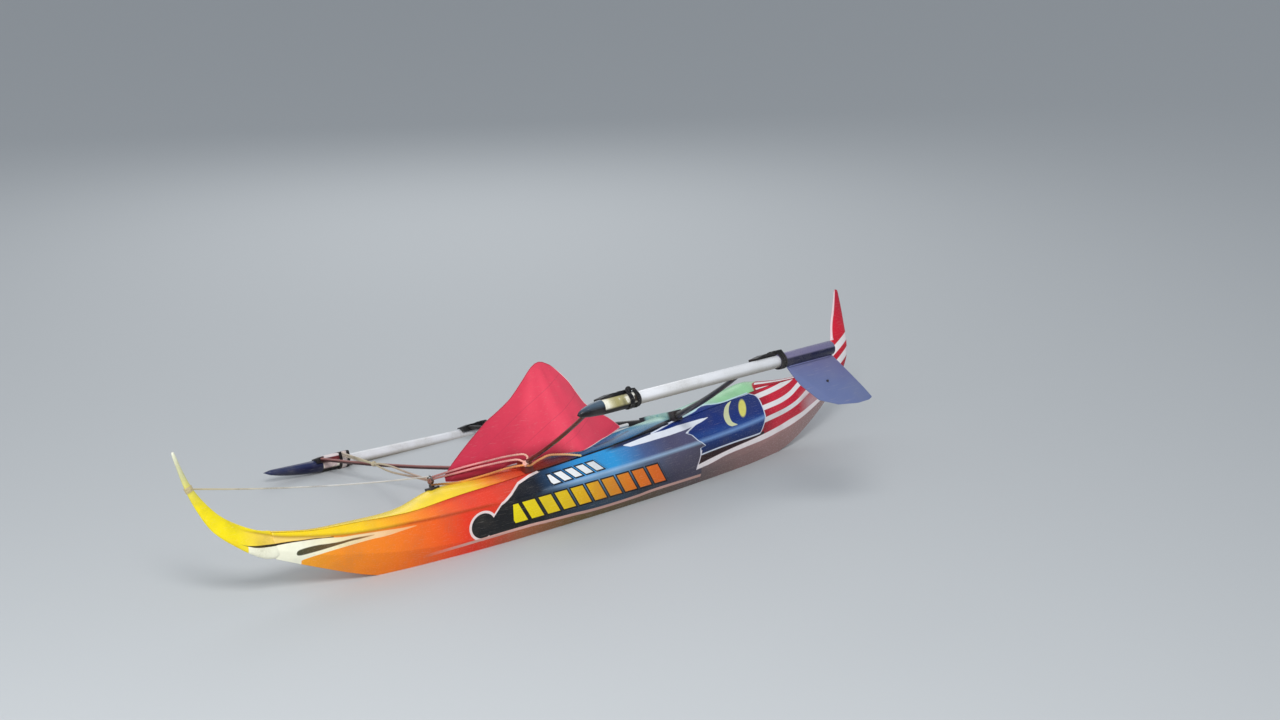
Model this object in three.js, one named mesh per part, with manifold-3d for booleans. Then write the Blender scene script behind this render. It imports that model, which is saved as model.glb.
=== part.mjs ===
// A small double-outrigger racing canoe, afloat with its rig lowered. It lies over on its
// starboard float, so the port float and its fin are lifted clear of the water.
// Millimetres. In the boat's own frame +X is forward, +Y is port and +Z is up, and z = 0 is
// the water at the boat's middle line. The whole boat is then heeled about X, as it floats.
import * as THREE from 'three';
import { mergeVertices } from 'three/addons/utils/BufferGeometryUtils.js';
import Module from 'manifold-3d';

const wasm = await Module();
wasm.setup();

// Driving dimensions
const heelDegrees = 21.5;
const gap = 0.3;
const stations = 60;
const deckEdgeThickness = 2;

const armReach = 1040;
const armSag = 15;
const beamLength = 44;
const beamEndWidth = 44;
const beamMiddleRise = 8;

const pipeRadius = 24.5;
const tailRadius = 28.5;
const sleeveRadius = 28.5;
const shoeInboard = 38;
const shoeOutboard = 8;
const shoeBottom = 10;
const shoeEndTop = 32;
const shoeTop = 39.5;
const shoeRamp = 50;
const armTipInboard = 25.5;
const armTipRise = 28;
const lashingThickness = 3;

const stepTop = 289;
const boomRadius = 8;
const boomY = -14;
const boomZ = stepTop + boomRadius + gap;
const mastX = 120;
const mastRadius = 8;
const sailThickness = 6;
const sailBelly = 12;

const ringX = 806;
const ringRadius = 15;
const ringWire = 3;
const ringPostTop = 18;

// Hull sections, bow to stern. deck: half width and height of the deck edge. rise: how far
// the deck's middle stands above its edge. chine: the widest corner. floor: the lower corner.
// keel: height of the keel.
const sections = [
  { x: 1560, deck: [20, 271], rise: 6, chine: [22, 252], floor: [14, 203], keel: 168 },
  { x: 1400, deck: [42, 238], rise: 6, chine: [50, 207], floor: [34, 144], keel: 96 },
  { x: 1200, deck: [62, 221], rise: 9, chine: [80, 180], floor: [56, 94], keel: 14 },
  { x: 1060, deck: [74, 208], rise: 16, chine: [99, 170], floor: [70, 66], keel: -24 },
  { x: 960, deck: [80, 204], rise: 26, chine: [109, 163], floor: [77, 52], keel: -44 },
  { x: 840, deck: [87, 210], rise: 48, chine: [120, 154], floor: [84, 38], keel: -59 },
  { x: 740, deck: [92, 215], rise: 48, chine: [128, 148], floor: [90, 28], keel: -69 },
  { x: 500, deck: [100, 219], rise: 36, chine: [140, 140], floor: [98, 15], keel: -80 },
  { x: 0, deck: [105, 236], rise: 35, chine: [147, 139], floor: [102, 8], keel: -88 },
  { x: -400, deck: [103, 260], rise: 35, chine: [143, 144], floor: [98, 16], keel: -84 },
  { x: -800, deck: [90, 287], rise: 42, chine: [122, 160], floor: [82, 42], keel: -58 },
  { x: -920, deck: [83, 296], rise: 46, chine: [110, 172], floor: [74, 62], keel: -34 },
  { x: -1010, deck: [77, 299], rise: 28, chine: [100, 184], floor: [67, 81], keel: -11 },
  { x: -1160, deck: [65, 299], rise: 9, chine: [83, 203], floor: [55, 116], keel: 34 },
  { x: -1350, deck: [47, 302], rise: 5, chine: [57, 240], floor: [39, 178], keel: 128 },
  { x: -1500, deck: [29, 322], rise: 5, chine: [33, 286], floor: [23, 252], keel: 226 },
];

// Upswept horns. Each row is a station on the horn's middle line: x, z, its depth across
// that line, and its half width.
const bowHorn = [
  { x: 1510, z: 210, depth: 122, half: 24 },
  { x: 1600, z: 238, depth: 106, half: 20 },
  { x: 1676, z: 283, depth: 88, half: 17 },
  { x: 1757, z: 350, depth: 72, half: 14 },
  { x: 1802, z: 420, depth: 50, half: 11 },
  { x: 1837, z: 502, depth: 30, half: 9 },
  { x: 1854, z: 578, depth: 20, half: 7 },
  { x: 1866, z: 655, depth: 13, half: 5 },
];
const sternHorn = [
  { x: -1450, z: 262, depth: 90, half: 29 },
  { x: -1508, z: 302, depth: 96, half: 24 },
  { x: -1550, z: 355, depth: 108, half: 18 },
  { x: -1572, z: 415, depth: 106, half: 13 },
  { x: -1590, z: 485, depth: 90, half: 10 },
  { x: -1613, z: 562, depth: 56, half: 7 },
  { x: -1634, z: 645, depth: 20, half: 5 },
];
const wrapThickness = 2.6;
const wrapFrom = 0.705;
const wrapTo = 0.74;

// Each float runs along X. axisZ: height of its axis at x = 0. pitch: nose up, in degrees.
// rise: how far the nose bends up. Then the x of the nose tip, of the end of the nose piece,
// of the start of the tail piece and of its cut end.
const floats = [
  { side: 'port', sign: 1, axisZ: 427, pitch: 0.5, rise: -8, noseTip: 811, noseEnd: 697, tailStart: -202, tailEnd: -500 },
  { side: 'starboard', sign: -1, axisZ: 418, pitch: 2.2, rise: 20, noseTip: 944, noseEnd: 660, tailStart: -202, tailEnd: -500 },
];

// Each pair of arms: x at its beam, x where the arm ends, its radius at the beam and at the
// float, where it leaves the beam (y, and height over the deck edge), the beam's half width,
// the rise of its ends over the deck's middle, its shoe, its lashing, and the radius of what
// they lie on
const armPlaces = [
  {
    place: 'fore', x: 400, tipX: 672, radius: [9, 7.5], footY: 88, footRise: 45, beamHalf: 106, endRise: 20,
    shoe: [546, 692], lashing: [529, 577], under: sleeveRadius,
  },
  {
    place: 'aft', x: -420, tipX: -126, radius: [14, 8], footY: 100, footRise: 21, beamHalf: 118, endRise: 8,
    shoe: [-238, -92], lashing: [-235, -194], under: tailRadius,
  },
];
const sleeveFrom = 526;

// Fin under each float's tail, in x and in height from the float's axis
const finThickness = 6;
const finFoot = { from: -478, to: -252, width: 18, depth: 4 };
const finOutline = [[-240, -20], [-262, -62], [-294, -112], [-374, -189], [-470, -226], [-576, -241],
  [-640, -240], [-659, -232], [-627, -187], [-565, -111], [-489, -20]];

// Sail, in upright strips from its fore corner to its aft corner. top: height of its upper
// edge. foot: how far to port its foot lies. lift: height of the foot above the deck.
const sailStrips = [
  { x: 738, top: 300, foot: 0.5, lift: 12 },
  { x: 690, top: 338, foot: 5, lift: 3 },
  { x: 592, top: 401, foot: 9, lift: 2 },
  { x: 478, top: 466, foot: 13, lift: 2 },
  { x: 440, top: 482, foot: 15, lift: 14 },
  { x: 400, top: 499, foot: 18, lift: 14 },
  { x: 362, top: 517, foot: 21, lift: 13 },
  { x: 330, top: 534, foot: 24, lift: 2 },
  { x: 244, top: 596, foot: 33, lift: 2 },
  { x: 191, top: 636, foot: 44, lift: 2 },
  { x: 148, top: 650, foot: 64, lift: 1.2 },
  { x: 109, top: 635, foot: 80, lift: 0.6 },
  { x: 79, top: 612, foot: 80, lift: 0.6 },
  { x: 22, top: 541, foot: 67, lift: 1.2 },
  { x: -33, top: 438, foot: 48, lift: 1.4 },
  { x: -90, top: 386, foot: 30, lift: 2 },
  { x: -137, top: 351, foot: 18, lift: 7 },
  { x: -184, top: 304, foot: 2, lift: 14 },
];

const paints = {
  hull: { color: 0xe2561f, roughness: 0.35, metalness: 0 },
  deck: { color: 0x2f86b8, roughness: 0.4, metalness: 0 },
  bowPaint: { color: 0xe9c21a, roughness: 0.35, metalness: 0 },
  sternPaint: { color: 0xd31f2c, roughness: 0.35, metalness: 0 },
  wood: { color: 0x3a2a22, roughness: 0.7, metalness: 0 },
  white: { color: 0xdfe3e6, roughness: 0.35, metalness: 0 },
  navy: { color: 0x24325c, roughness: 0.45, metalness: 0 },
  fin: { color: 0x45557f, roughness: 0.5, metalness: 0 },
  black: { color: 0x17181b, roughness: 0.6, metalness: 0 },
  tape: { color: 0xc9b23c, roughness: 0.7, metalness: 0 },
  sail: { color: 0xc8242f, roughness: 0.85, metalness: 0 },
  rope: { color: 0xd9cba0, roughness: 0.9, metalness: 0 },
  steel: { color: 0x6d7074, roughness: 0.35, metalness: 1 },
};

const boat = new THREE.Group();
boat.rotation.x = THREE.MathUtils.degToRad(heelDegrees);

function addPart(name, geometry, paint, group = boat) {
  const mesh = new THREE.Mesh(geometry, new THREE.MeshStandardMaterial(paints[paint]));
  mesh.name = name;
  group.add(mesh);
}

// Turns the faces of a closed mesh outward, from the sign of the volume that they enclose
function outward(geometry) {
  const index = geometry.index.array;
  const corner = (n) => new THREE.Vector3().fromBufferAttribute(geometry.attributes.position, index[n]);
  let volume = 0;
  for (let n = 0; n < index.length; n += 3) volume += corner(n).cross(corner(n + 1)).dot(corner(n + 2));
  if (volume < 0) {
    for (let n = 0; n < index.length; n += 3) [index[n], index[n + 1]] = [index[n + 1], index[n]];
  }
  return geometry;
}

// A closed skin over rings of equal length, each a closed loop of points
function loft(rings) {
  const count = rings[0].length;
  const faces = [];
  for (let i = 0; i < rings.length - 1; i += 1) {
    for (let j = 0; j < count; j += 1) {
      const a = i * count + j;
      const b = i * count + ((j + 1) % count);
      faces.push(a, b, b + count, a, b + count, a + count);
    }
  }
  const last = (rings.length - 1) * count;
  for (let j = 1; j < count - 1; j += 1) {
    faces.push(0, j + 1, j, last, last + j, last + j + 1);
  }
  const geometry = new THREE.BufferGeometry().setFromPoints(rings.flat());
  geometry.setIndex(faces);
  return outward(mergeVertices(geometry));
}

function toSolid(geometry) {
  const bare = geometry.clone();
  bare.deleteAttribute('normal');
  bare.deleteAttribute('uv');
  const merged = outward(mergeVertices(bare));
  return new wasm.Manifold(new wasm.Mesh({
    numProp: 3,
    vertProperties: merged.attributes.position.array,
    triVerts: new Uint32Array(merged.index.array),
  }));
}

function toGeometry(solid) {
  const mesh = solid.getMesh();
  const geometry = new THREE.BufferGeometry();
  geometry.setAttribute('position', new THREE.BufferAttribute(mesh.vertProperties, mesh.numProp));
  geometry.setIndex(new THREE.BufferAttribute(mesh.triVerts, 1));
  return geometry;
}

function cut(geometry, ...tools) {
  return toGeometry(tools.reduce((solid, tool) => solid.subtract(toSolid(tool)), toSolid(geometry)));
}

function join(...geometries) {
  return toGeometry(geometries.map(toSolid).reduce((solid, next) => solid.add(next)));
}

// A box between two corners
function block(from, to) {
  const low = new THREE.Vector3(...from);
  const size = new THREE.Vector3(...to).sub(low);
  const middle = low.clone().addScaledVector(size, 0.5);
  return new THREE.BoxGeometry(...size).translate(...middle);
}

// A round bar along the X axis, from a list of x and radius
function turned(profile) {
  const outline = profile.map(([x, radius]) => new THREE.Vector2(radius, x));
  const lathe = new THREE.LatheGeometry(outline, 24).rotateZ(-Math.PI / 2);
  lathe.deleteAttribute('normal');
  lathe.deleteAttribute('uv');
  return outward(mergeVertices(lathe));
}

function bar(from, to, radius) {
  return turned([[from, 0], [from, radius], [to, radius], [to, 0]]);
}

// A rod of round section along a curve, which may taper to another radius at its end
function rod(curve, radius, steps = 1, endRadius = radius) {
  const sides = 12;
  const { normals, binormals } = curve.computeFrenetFrames(steps);
  return loft(Array.from({ length: steps + 1 }, (_, n) => Array.from({ length: sides }, (unused, m) => {
    const angle = (m / sides) * 2 * Math.PI;
    const reach = THREE.MathUtils.lerp(radius, endRadius, n / steps);
    return curve.getPointAt(n / steps).addScaledVector(normals[n], reach * Math.cos(angle))
      .addScaledVector(binormals[n], reach * Math.sin(angle));
  })));
}

// An outline given in x and z, made into a plate across Y
function plateAcrossY(outline, thickness) {
  const shape = new THREE.Shape(outline.map(([x, z]) => new THREE.Vector2(x, z)));
  return new THREE.ExtrudeGeometry(shape, { depth: thickness, bevelEnabled: false })
    .rotateX(Math.PI / 2).translate(0, thickness / 2, 0);
}

// An outline given in y and z, made into a bar along X
function barAlongX(shape, from, to) {
  return new THREE.ExtrudeGeometry(shape, { depth: to - from, bevelEnabled: false })
    .applyMatrix4(new THREE.Matrix4().set(0, 0, 1, from, 1, 0, 0, 0, 0, 1, 0, 0, 0, 0, 0, 1));
}

// Smooth value of one column of a table at x, through its rows
function smooth(rows, pick, x) {
  let i = 0;
  while (i < rows.length - 2 && x < rows[i + 1].x) i += 1;
  const slope = (n) => {
    const before = rows[Math.max(n - 1, 0)];
    const after = rows[Math.min(n + 1, rows.length - 1)];
    return (pick(after) - pick(before)) / (after.x - before.x);
  };
  const span = rows[i + 1].x - rows[i].x;
  const t = (x - rows[i].x) / span;
  return pick(rows[i]) * (1 + 2 * t) * (1 - t) ** 2 + slope(i) * span * t * (1 - t) ** 2
    + pick(rows[i + 1]) * t * t * (3 - 2 * t) + slope(i + 1) * span * t * t * (t - 1);
}

const deckHalf = (x) => smooth(sections, (row) => row.deck[0], x);
const deckEdge = (x) => smooth(sections, (row) => row.deck[1], x);
const deckRise = (x) => smooth(sections, (row) => row.rise, x);

function deckTop(x, y) {
  return deckEdge(x) + gap + deckEdgeThickness + deckRise(x) * (1 - (y / deckHalf(x)) ** 2);
}
const crown = (x) => deckTop(x, 0);

// Hull: one closed body with hard corners at the deck edge, the chine, the floor and the keel
function hullRing(x) {
  const corner = (name) => [smooth(sections, (row) => row[name][0], x), smooth(sections, (row) => row[name][1], x)];
  const port = ['deck', 'chine', 'floor'].map(corner);
  const starboard = port.map(([y, z]) => [-y, z]).reverse();
  const keel = [0, smooth(sections, (row) => row.keel, x)];
  return [...port, keel, ...starboard].map(([y, z]) => new THREE.Vector3(x, y, z));
}

function deckRing(x, grow = 0) {
  const steps = 8;
  const half = deckHalf(x) + grow;
  const edge = deckEdge(x) + gap;
  const top = Array.from({ length: steps + 1 }, (_, n) => {
    const y = half * ((2 * n) / steps - 1);
    return new THREE.Vector3(x, y, edge + deckEdgeThickness + grow + deckRise(x) * (1 - (y / half) ** 2));
  });
  return [new THREE.Vector3(x, -half, edge), ...top, new THREE.Vector3(x, half, edge)];
}

const bowEnd = sections[0].x;
const sternEnd = sections[sections.length - 1].x;
const hullXs = Array.from({ length: stations + 1 }, (_, n) => bowEnd + ((sternEnd - bowEnd) * n) / stations);
addPart('hull', loft(hullXs.map(hullRing)), 'hull');
addPart('deck', loft(hullXs.map((x) => deckRing(x))), 'deck');
const deckTool = loft(hullXs.map((x) => deckRing(x, gap)));

// Horns: a slim rounded blade that follows the middle line of its table, from one share of
// its length to another
function horn(rows, grow = 0, from = 0, to = 1) {
  const line = new THREE.CatmullRomCurve3(rows.map(({ x, z }) => new THREE.Vector3(x, 0, z)));
  const steps = Math.ceil(21 * (to - from));
  return loft(Array.from({ length: steps + 1 }, (_, n) => {
    const t = from + ((to - from) * n) / steps;
    const place = Math.min(Math.floor(t * (rows.length - 1)), rows.length - 2);
    const blend = t * (rows.length - 1) - place;
    const depth = THREE.MathUtils.lerp(rows[place].depth, rows[place + 1].depth, blend) / 2 + grow;
    const half = THREE.MathUtils.lerp(rows[place].half, rows[place + 1].half, blend) + grow;
    const across = new THREE.Vector3(0, 1, 0).cross(line.getTangent(t));
    return Array.from({ length: 12 }, (unused, m) => {
      const angle = (m / 12) * 2 * Math.PI;
      return line.getPoint(t).addScaledVector(across, depth * Math.sin(angle))
        .add(new THREE.Vector3(0, half * Math.cos(angle), 0));
    });
  }));
}
const hullSpace = block([sternEnd - gap, -100, -500], [bowEnd + gap, 100, 1000]);
addPart('bow_horn', cut(horn(bowHorn), hullSpace), 'bowPaint');
addPart('stern_horn', cut(horn(sternHorn), hullSpace), 'sternPaint');

// The loop that a band takes round a set of circles: the outline of their convex hull
function bandOutline(circles, grow) {
  const points = circles.flatMap(([y, z, radius]) => Array.from({ length: 24 }, (_, n) => {
    const angle = (n / 24) * 2 * Math.PI;
    const reach = (radius + grow) / Math.cos(Math.PI / 24);
    return [y + reach * Math.cos(angle), z + reach * Math.sin(angle)];
  })).sort((a, b) => a[0] - b[0] || a[1] - b[1]);
  const turn = (o, a, b) => (a[0] - o[0]) * (b[1] - o[1]) - (a[1] - o[1]) * (b[0] - o[0]);
  const side = (list) => list.reduce((chain, point) => {
    while (chain.length > 1 && turn(chain.at(-2), chain.at(-1), point) <= 0) chain.pop();
    return [...chain, point];
  }, []).slice(0, -1);
  return [...side(points), ...side([...points].reverse())].map(([y, z]) => new THREE.Vector2(y, z));
}

function band(circles, from, to, thickness) {
  const shape = new THREE.Shape(bandOutline(circles, gap + thickness));
  shape.holes.push(new THREE.Path(bandOutline(circles, gap).reverse()));
  return barAlongX(shape, from, to);
}

// What a lashing goes round: the float, and three corners of the shoe's end
function lashingCircles({ shoe, lashing, under }, sign) {
  const inShoe = Math.min(lashing[1] - shoe[0], shoeRamp);
  const top = shoeEndTop + ((shoeTop - shoeEndTop) * inShoe) / shoeRamp;
  const inboard = -sign * shoeInboard;
  return [[0, 0, under], [inboard, shoeBottom, 0], [inboard, top, 0], [sign * shoeOutboard, top, 0]];
}

// Each float has a group of its own, in which its axis is the X axis
const floatGroups = {};
for (const { side, sign, axisZ, pitch } of floats) {
  const group = new THREE.Group();
  group.position.set(0, sign * armReach, axisZ);
  group.rotation.y = -THREE.MathUtils.degToRad(pitch);
  group.updateMatrix();
  boat.add(group);
  floatGroups[side] = group;
}

// An arm's line from its beam to its shoe, in the boat's frame. longer adds to both ends.
function armCurve(row, { side, sign }, longer = 0) {
  const foot = new THREE.Vector3(row.x, sign * (row.footY - longer), deckEdge(row.x) + row.footRise);
  const tip = new THREE.Vector3(row.tipX, -sign * (armTipInboard - longer), armTipRise);
  tip.applyMatrix4(floatGroups[side].matrix);
  const middle = foot.clone().lerp(tip, 0.5);
  middle.z -= 2 * armSag;
  return new THREE.QuadraticBezierCurve3(foot, middle, tip);
}
const armSteps = 14;
function armRod(row, float, grow = 0) {
  return rod(armCurve(row, float, grow), row.radius[0] + grow, armSteps, row.radius[1] + grow);
}

// Floats: a white pipe with a pointed nose piece, a tail piece that is cut off square, a
// taped length under the fore shoe, and a fin with a foot strip under the tail
for (const float of floats) {
  const { side, sign, rise, noseTip, noseEnd, tailStart, tailEnd } = float;
  const group = floatGroups[side];
  const nose = Array.from({ length: 9 }, (_, n) => {
    const t = n / 8;
    return [noseEnd + (noseTip - noseEnd) * t, tailRadius * Math.sqrt(1 - t ** 3) * (1 - 0.35 * t)];
  });
  const bent = turned([[noseEnd, 0], ...nose]);
  const places = bent.attributes.position;
  for (let n = 0; n < places.count; n += 1) {
    places.setZ(n, places.getZ(n) + rise * ((places.getX(n) - noseEnd) / (noseTip - noseEnd)) ** 2);
  }
  addPart(`float_nose_${side}`, bent, sign > 0 ? 'black' : 'navy', group);
  addPart(`float_pipe_${side}`, bar(tailStart + gap, noseEnd - gap, pipeRadius), 'white', group);
  addPart(`float_tail_${side}`, bar(tailEnd, tailStart, tailRadius), 'navy', group);
  const sleeve = cut(bar(sleeveFrom, noseEnd - gap, sleeveRadius), bar(sleeveFrom - 1, noseEnd + 1, pipeRadius + gap));
  addPart(`tape_sleeve_${side}`, sleeve, 'tape', group);

  const foot = block([finFoot.from, -finFoot.width / 2, -tailRadius - finFoot.depth], [finFoot.to, finFoot.width / 2, -15]);
  const clear = bar(tailEnd - 20, noseEnd, tailRadius + gap);
  addPart(`fin_${side}`, cut(join(plateAcrossY(finOutline, finThickness), foot), clear), 'fin', group);
}

// Arm beams across the deck, with raised ends that are bored for the arms
for (const row of armPlaces) {
  const fore = row.x + beamLength / 2;
  const aft = row.x - beamLength / 2;
  const bottom = deckEdge(row.x) + 3;
  const half = row.beamHalf;
  const middle = block([aft, -half, bottom], [fore, half, crown(row.x) + beamMiddleRise]);
  const ends = [1, -1].map((sign) => block(
    [aft, sign > 0 ? half - beamEndWidth : -half, bottom],
    [fore, sign > 0 ? half : beamEndWidth - half, crown(row.x) + row.endRise],
  ));
  const bores = floats.map((float) => armRod(row, float, gap));
  addPart(`arm_beam_${row.place}`, cut(join(middle, ...ends), deckTool, ...bores), 'wood');
}

// Arms, each ending in a shoe that lies on the inboard shoulder of the float and is lashed to it
for (const row of armPlaces) {
  for (const float of floats) {
    const name = `${row.place}_${float.side}`;
    const group = floatGroups[float.side];
    addPart(`arm_${name}`, armRod(row, float), 'wood');

    const [aft, fore] = row.shoe;
    const outline = [[aft, shoeBottom], [fore, shoeBottom], [fore, shoeEndTop], [fore - shoeRamp, shoeTop],
      [aft + shoeRamp, shoeTop], [aft, shoeEndTop]];
    const seat = bar(aft - 5, fore + 5, row.under + gap);
    const bore = armRod(row, float, gap).applyMatrix4(group.matrix.clone().invert());
    const body = plateAcrossY(outline, shoeInboard + shoeOutboard)
      .translate(0, (float.sign * (shoeOutboard - shoeInboard)) / 2, 0);
    addPart(`arm_shoe_${name}`, cut(body, seat, bore), 'black', group);
    const circles = lashingCircles(row, float.sign);
    addPart(`lashing_${name}`, band(circles, ...row.lashing, lashingThickness), 'black', group);
  }
}

// Sail: a limp sheet that stands on the deck, its foot swung out to port
function sailRing({ x, top, foot, lift }) {
  const steps = 6;
  const half = sailThickness / 2;
  const low = deckTop(x, Math.max(foot - half, 0)) + lift;
  const belly = (sailBelly * (top - low)) / 350;
  const side = (offset) => Array.from({ length: steps + 1 }, (_, n) => {
    const t = n / steps;
    return new THREE.Vector3(x, foot * (1 - t) + belly * Math.sin(Math.PI * t) + offset, low + (top - low) * t);
  });
  return [...side(half), ...side(-half).reverse()];
}
const sailRings = sailStrips.slice(1).flatMap((row, n) => {
  const before = sailStrips[n];
  return [0.5, 1].map((t) => {
    const x = before.x + (row.x - before.x) * t;
    const column = (name) => smooth(sailStrips, (strip) => strip[name], x);
    return sailRing({ x, top: column('top'), foot: column('foot'), lift: column('lift') });
  });
});
addPart('sail', loft([sailRing(sailStrips[0]), ...sailRings]), 'sail');

// Boom, mast step and mast stub on the side away from the sail's foot
addPart('boom', bar(-245, 700, boomRadius).translate(0, boomY, boomZ), 'white');
const mastFoot = new THREE.Vector3(mastX, -33.5, stepTop - 17);
const mastTop = new THREE.Vector3(mastX, -9.3, 612);
const mastDown = new THREE.Vector3().subVectors(mastFoot, mastTop).normalize();
const mastBore = new THREE.LineCurve3(mastFoot.clone().addScaledVector(mastDown, gap), mastTop);
const stepBody = block([mastX - 35, -67, crown(mastX) - 33], [mastX + 35, 3, stepTop]);
addPart('mast_step', cut(stepBody, deckTool, rod(mastBore, mastRadius + gap)), 'wood');
addPart('mast_stub', rod(new THREE.LineCurve3(mastFoot, mastTop), mastRadius), 'wood');

// Ring on the foredeck, standing on the post of its plate
const plateTop = crown(ringX) + 6;
const postTop = crown(ringX) + ringPostTop;
const ringZ = postTop + gap + ringWire + ringRadius;
const plate = block([ringX - 22, -22, crown(ringX) - 8], [ringX + 22, 22, plateTop]);
const post = block([ringX - 8, -8, crown(ringX) - 8], [ringX + 8, 8, postTop]);
addPart('ring_plate', cut(join(plate, post), deckTool), 'steel');
const ring = (wire) => new THREE.TorusGeometry(ringRadius, wire, 10, 28).rotateY(Math.PI / 2).translate(ringX, 0, ringZ);
addPart('deck_ring', ring(ringWire), 'steel');

// Wrap on the bow horn, and the taut line from it to the ring
const hornWrap = cut(horn(bowHorn, wrapThickness, wrapFrom, wrapTo), horn(bowHorn, gap));
addPart('horn_wrap', hornWrap, 'rope');
const bowLine = new THREE.LineCurve3(new THREE.Vector3(ringX, 0, ringZ + ringRadius), new THREE.Vector3(1837, 0, 507));
addPart('bow_line', cut(rod(bowLine, 3), ring(ringWire + gap), horn(bowHorn, wrapThickness + 3 * gap)), 'rope');

// Taut stay from the ring, over the fore arm, to the inboard side of the starboard lashing
const [foreRow] = armPlaces;
const lashingOutside = bandOutline(lashingCircles(foreRow, -1), 2 * gap + lashingThickness);
const stayEnd = new THREE.Vector3(558, 0, 32).applyMatrix4(floatGroups.starboard.matrix);
const stay = new THREE.LineCurve3(new THREE.Vector3(ringX, -ringRadius, ringZ), stayEnd);
const stayStop = barAlongX(new THREE.Shape(lashingOutside), ...foreRow.lashing)
  .applyMatrix4(floatGroups.starboard.matrix);
addPart('stay_starboard', cut(rod(stay, 4), ring(ringWire + gap), stayStop), 'rope');

export default boat;
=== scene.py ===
import math

import bpy
from mathutils import Matrix, Vector


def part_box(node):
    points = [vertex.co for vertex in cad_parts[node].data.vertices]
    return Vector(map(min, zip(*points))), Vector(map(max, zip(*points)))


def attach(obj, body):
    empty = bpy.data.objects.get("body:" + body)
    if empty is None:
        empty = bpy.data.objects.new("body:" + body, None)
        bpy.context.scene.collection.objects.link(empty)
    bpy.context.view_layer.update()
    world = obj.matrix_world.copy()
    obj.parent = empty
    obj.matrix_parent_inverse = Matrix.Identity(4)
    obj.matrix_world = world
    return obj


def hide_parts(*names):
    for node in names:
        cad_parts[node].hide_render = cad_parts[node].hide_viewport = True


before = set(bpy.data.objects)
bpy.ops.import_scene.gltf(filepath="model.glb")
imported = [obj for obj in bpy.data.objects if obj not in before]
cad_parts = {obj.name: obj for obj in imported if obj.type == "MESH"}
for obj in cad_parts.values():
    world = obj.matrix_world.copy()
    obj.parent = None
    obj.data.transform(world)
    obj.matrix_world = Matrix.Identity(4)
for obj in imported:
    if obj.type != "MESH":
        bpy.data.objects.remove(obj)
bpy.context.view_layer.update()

# Camera
# It stands off the port quarter of the bow, 17 degrees above the water, where the photograph
# was taken from. No line of the boat hangs free, so there is no cord to place.
CAMERA_DOWN = 16.96
CAMERA_ROUND = 41.46
camera_data = bpy.data.cameras.new("camera")
camera_data.lens = 61.875
camera_data.sensor_width = 36
camera_data.clip_end = 200
camera = bpy.data.objects.new("camera", camera_data)
camera.location = (5.6157, 6.5915, 3.2790)
camera.rotation_euler = (math.radians(90 - CAMERA_DOWN), 0, math.radians(180 - CAMERA_ROUND))
bpy.context.collection.objects.link(camera)
bpy.context.scene.camera = camera

# Floor and light
# A plain pale floor lies at the waterline, and the light is soft, from high on the port side.
bpy.ops.object.select_all(action="DESELECT")
bpy.ops.mesh.primitive_plane_add(size=90, location=(0, 0, 0))
floor = bpy.context.object
floor.name = "floor"
floor_paint = bpy.data.materials.new("pale_floor")
floor_paint.use_nodes = True
floor_shader = floor_paint.node_tree.nodes["Principled BSDF"]
floor_shader.inputs["Base Color"].default_value = (0.52, 0.54, 0.55, 1)
floor_shader.inputs["Roughness"].default_value = 0.85
floor.data.materials.append(floor_paint)

world = bpy.data.worlds.new("studio")
world.use_nodes = True
world.node_tree.nodes["Background"].inputs["Color"].default_value = (0.86, 0.92, 1.0, 1)
world.node_tree.nodes["Background"].inputs["Strength"].default_value = 0.5
bpy.context.scene.world = world
bpy.context.scene.view_settings.view_transform = "Standard"

for name, place, size, watts in (
    ("key_light", (3.5, 4.5, 6.0), 2.5, 330),
    ("fill_light", (6.5, 1.0, 2.2), 4.0, 115),
    ("back_light", (-3.0, -5.0, 4.0), 4.0, 90),
):
    light_data = bpy.data.lights.new(name, "AREA")
    light_data.size = size
    light_data.energy = watts
    light = bpy.data.objects.new(name, light_data)
    light.location = place
    light.rotation_euler = Vector(place).to_track_quat("Z", "Y").to_euler()
    bpy.context.collection.objects.link(light)

# Hull
# A hard-chined shell of thin laminate, closed all round. It is a merged copy of the CAD hull
# with its corners eased, as moulded laminate has them.
HEEL = math.radians(21.5)
FLAT = math.radians(0.5)


def pick(*pieces):
    """Selects these pieces and nothing else, and makes the first the active one"""
    bpy.ops.object.select_all(action="DESELECT")
    for piece in pieces:
        piece.select_set(True)
    bpy.context.view_layer.objects.active = pieces[0]


def merge_faces(piece, apart):
    """Joins loose faces at points less than apart metres from each other, and flat ones into one"""
    pick(piece)
    bpy.ops.object.mode_set(mode="EDIT")
    bpy.ops.mesh.select_all(action="SELECT")
    bpy.ops.mesh.remove_doubles(threshold=apart)
    bpy.ops.mesh.dissolve_limited(angle_limit=FLAT)
    bpy.ops.object.mode_set(mode="OBJECT")


def modify(piece, kind, **settings):
    """Gives the active piece a modifier and applies it"""
    modifier = piece.modifiers.new(kind.lower(), kind)
    for name, value in settings.items():
        setattr(modifier, name, value)
    bpy.ops.object.modifier_apply(modifier=modifier.name)


def merged_copy(node, name, ease=0.0, segments=2, sharp=30):
    """A copy of a CAD node as one joined mesh, its sharp edges rounded by ease metres"""
    piece = bpy.data.objects.new(name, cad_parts[node].data.copy())
    bpy.context.collection.objects.link(piece)
    piece.data.materials.clear()
    merge_faces(piece, 0.00002)
    if ease:
        modify(piece, "BEVEL", width=ease, segments=segments, angle_limit=math.radians(sharp))
    bpy.ops.object.shade_smooth_by_angle(angle=math.radians(35))
    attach(piece, "root")
    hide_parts(node)
    return piece


def on_water(x, y, z):
    """A place in the boat's own frame, in mm, as it lies on the water, in metres"""
    return Vector((
        x, y * math.cos(HEEL) - z * math.sin(HEEL), y * math.sin(HEEL) + z * math.cos(HEEL),
    )) / 1000


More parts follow.
